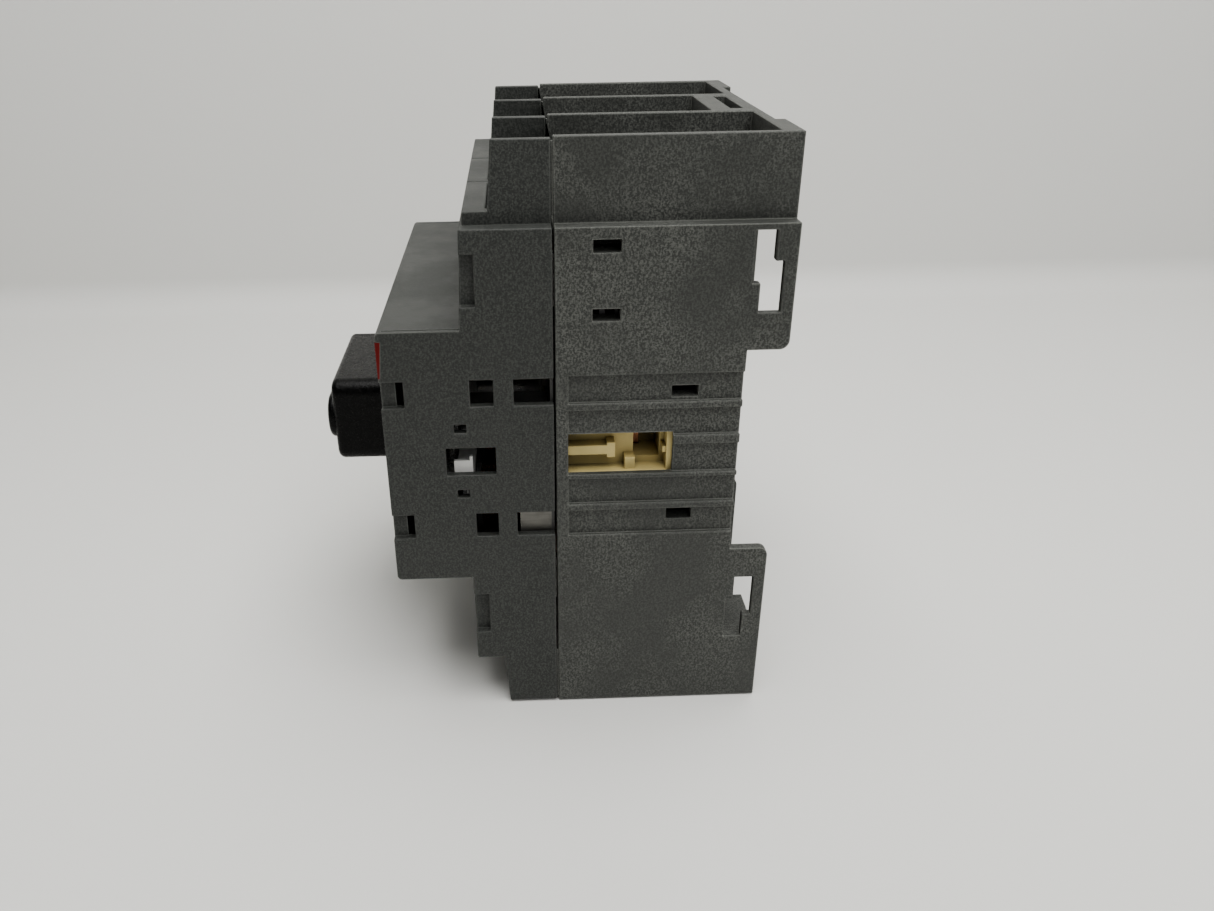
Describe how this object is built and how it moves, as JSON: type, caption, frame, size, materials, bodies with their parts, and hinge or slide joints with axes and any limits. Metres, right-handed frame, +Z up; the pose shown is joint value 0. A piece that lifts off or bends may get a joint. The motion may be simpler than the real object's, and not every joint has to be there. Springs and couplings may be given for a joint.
{
  "type": "motor protection breaker",
  "caption": "Block-shaped breaker for a mounting rail, with a rotary handle in front, barrier walls between open cable chambers and a hooked back.",
  "frame": {"origin": "centre of the face that sits on the mounting rail", "axes": "+X to the breaker's right side, -Y to its front (the handle), +Y towards the rail, +Z up"},
  "size_m": [0.07, 0.0773, 0.101],
  "materials": {
    "rear_plastic": "moulded glass-filled polyamide, mottled satin",
    "front_plastic": "moulded polyamide, fine satin",
    "cover_plastic": "moulded, fine satin",
    "label_print": "blank printed label",
    "red_plastic": "moulded",
    "handle_plastic": "moulded, satin black",
    "lock_plastic": "moulded",
    "shaft_steel": "zinc plated",
    "dial_plastic": "moulded",
    "button_plastic": "moulded",
    "frame_steel": "stamped, dull",
    "zinc_steel": "zinc plated",
    "spring_steel": "drawn wire",
    "copper": "rolled copper with silver pads",
    "splitter_steel": "stamped",
    "cream_plastic": "moulded cream thermoset",
    "coil_copper": "enamelled wire",
    "bobbin_plastic": "moulded",
    "mechanism_plastic": "moulded",
    "plunger_steel": "turned",
    "bimetal": "rolled",
    "heater_wire": "drawn resistance wire",
    "slide_plastic": "moulded grey",
    "white_plastic": "moulded white"
  },
  "bodies": {
    "housing": {"rear_housing": "rear_plastic", "front_shell": "front_plastic", "front_cover": "cover_plastic", "rating_label": "label_print", "corner_inlay": "red_plastic", "housing_screws": "zinc_steel", "terminal_clamp_line_1": "zinc_steel", "terminal_clamp_line_2": "zinc_steel", "terminal_clamp_line_3": "zinc_steel", "terminal_clamp_load_1": "zinc_steel", "terminal_clamp_load_2": "zinc_steel", "terminal_clamp_load_3": "zinc_steel", "terminal_screws": "zinc_steel", "rail_latch_spring": "spring_steel", "line_contact_1": "copper", "line_contact_2": "copper", "line_contact_3": "copper", "load_contact_1": "copper", "load_contact_2": "copper", "load_contact_3": "copper", "arc_chute_line_1": "splitter_steel", "arc_chute_line_2": "splitter_steel", "arc_chute_line_3": "splitter_steel", "arc_chute_load_1": "splitter_steel", "arc_chute_load_2": "splitter_steel", "arc_chute_load_3": "splitter_steel", "mechanism_plate": "mechanism_plastic", "magnet_frame": "frame_steel", "magnet_coil_1": "coil_copper", "magnet_coil_2": "coil_copper", "magnet_coil_3": "coil_copper", "coil_bobbins": "bobbin_plastic", "plunger_springs": "spring_steel", "bimetal_1": "bimetal", "bimetal_2": "bimetal", "bimetal_3": "bimetal", "heater_1": "heater_wire", "heater_2": "heater_wire", "heater_3": "heater_wire", "main_spring": "spring_steel"},
    "handle": {"rotary_handle": "handle_plastic", "drive_shaft": "shaft_steel"},
    "lock_slide": {"handle_lock_slide": "lock_plastic"},
    "dial": {"setting_dial": "dial_plastic"},
    "button": {"test_button": "button_plastic"},
    "carrier": {"contact_carrier": "cream_plastic", "contact_bridge_1": "copper", "contact_bridge_2": "copper", "contact_bridge_3": "copper", "contact_springs": "spring_steel"},
    "driver": {"auxiliary_driver": "white_plastic"},
    "trip_slide": {"trip_slide": "slide_plastic"},
    "trip_shaft": {"trip_shaft": "shaft_steel"},
    "latch": {"latch_lever": "shaft_steel"},
    "plunger_1": {"plunger_1": "plunger_steel"},
    "plunger_2": {"plunger_2": "plunger_steel"},
    "plunger_3": {"plunger_3": "plunger_steel"},
    "rail_latch": {"rail_latch": "shaft_steel"}
  },
  "joints": [
    {"name": "handle_turn", "type": "hinge", "parent": "housing", "child": "handle", "pos_m": [0, -0.06, -0.0022], "axis": [0, 1, 0], "range_deg": [0, 90]},
    {"name": "lock_pull", "type": "slide", "parent": "handle", "child": "lock_slide", "axis": [0, -1, 0], "range_m": [0, 0.006]},
    {"name": "dial_turn", "type": "hinge", "parent": "housing", "child": "dial", "pos_m": [-0.0225, -0.056, -0.0105], "axis": [0, 1, 0], "range_deg": [0, 270]},
    {"name": "test_press", "type": "slide", "parent": "housing", "child": "button", "axis": [0, 1, 0], "range_m": [0, 0.0015], "stiffness_N_per_m": 500},
    {"name": "carrier_travel", "type": "slide", "parent": "housing", "child": "carrier", "axis": [0, 1, 0], "range_m": [0, 0.006]},
    {"name": "driver_travel", "type": "slide", "parent": "housing", "child": "driver", "axis": [0, 1, 0], "range_m": [0, 0.003]},
    {"name": "trip_slide_travel", "type": "slide", "parent": "housing", "child": "trip_slide", "axis": [1, 0, 0], "range_m": [0, 0.002], "stiffness_N_per_m": 300},
    {"name": "trip_shaft_turn", "type": "hinge", "parent": "housing", "child": "trip_shaft", "pos_m": [0, -0.0495, -0.0165], "axis": [1, 0, 0], "range_deg": [0, 12], "stiffness_Nm_per_rad": 0.02},
    {"name": "latch_turn", "type": "hinge", "parent": "housing", "child": "latch", "pos_m": [0.014, -0.0506, 0.0005], "axis": [0, 1, 0], "range_deg": [0, 15], "stiffness_Nm_per_rad": 0.03, "deforming": ["main_spring"]},
    {"name": "plunger_1_travel", "type": "slide", "parent": "housing", "child": "plunger_1", "axis": [0, 1, 0], "range_m": [0, 0.0017], "stiffness_N_per_m": 300},
    {"name": "plunger_2_travel", "type": "slide", "parent": "housing", "child": "plunger_2", "axis": [0, 1, 0], "range_m": [0, 0.0017], "stiffness_N_per_m": 300, "deforming": ["plunger_springs"]},
    {"name": "plunger_3_travel", "type": "slide", "parent": "housing", "child": "plunger_3", "axis": [0, 1, 0], "range_m": [0, 0.0017], "stiffness_N_per_m": 300},
    {"name": "rail_latch_travel", "type": "slide", "parent": "housing", "child": "rail_latch", "axis": [0, 0, 1], "range_m": [0, 0.0025], "deforming": ["rail_latch_spring"]}
  ],
  "couplings": [
    {"joint": "handle_turn", "follows": "carrier_travel", "rad_per_m": 261.8},
    {"joint": "driver_travel", "follows": "carrier_travel", "ratio": 0.5}
  ]
}
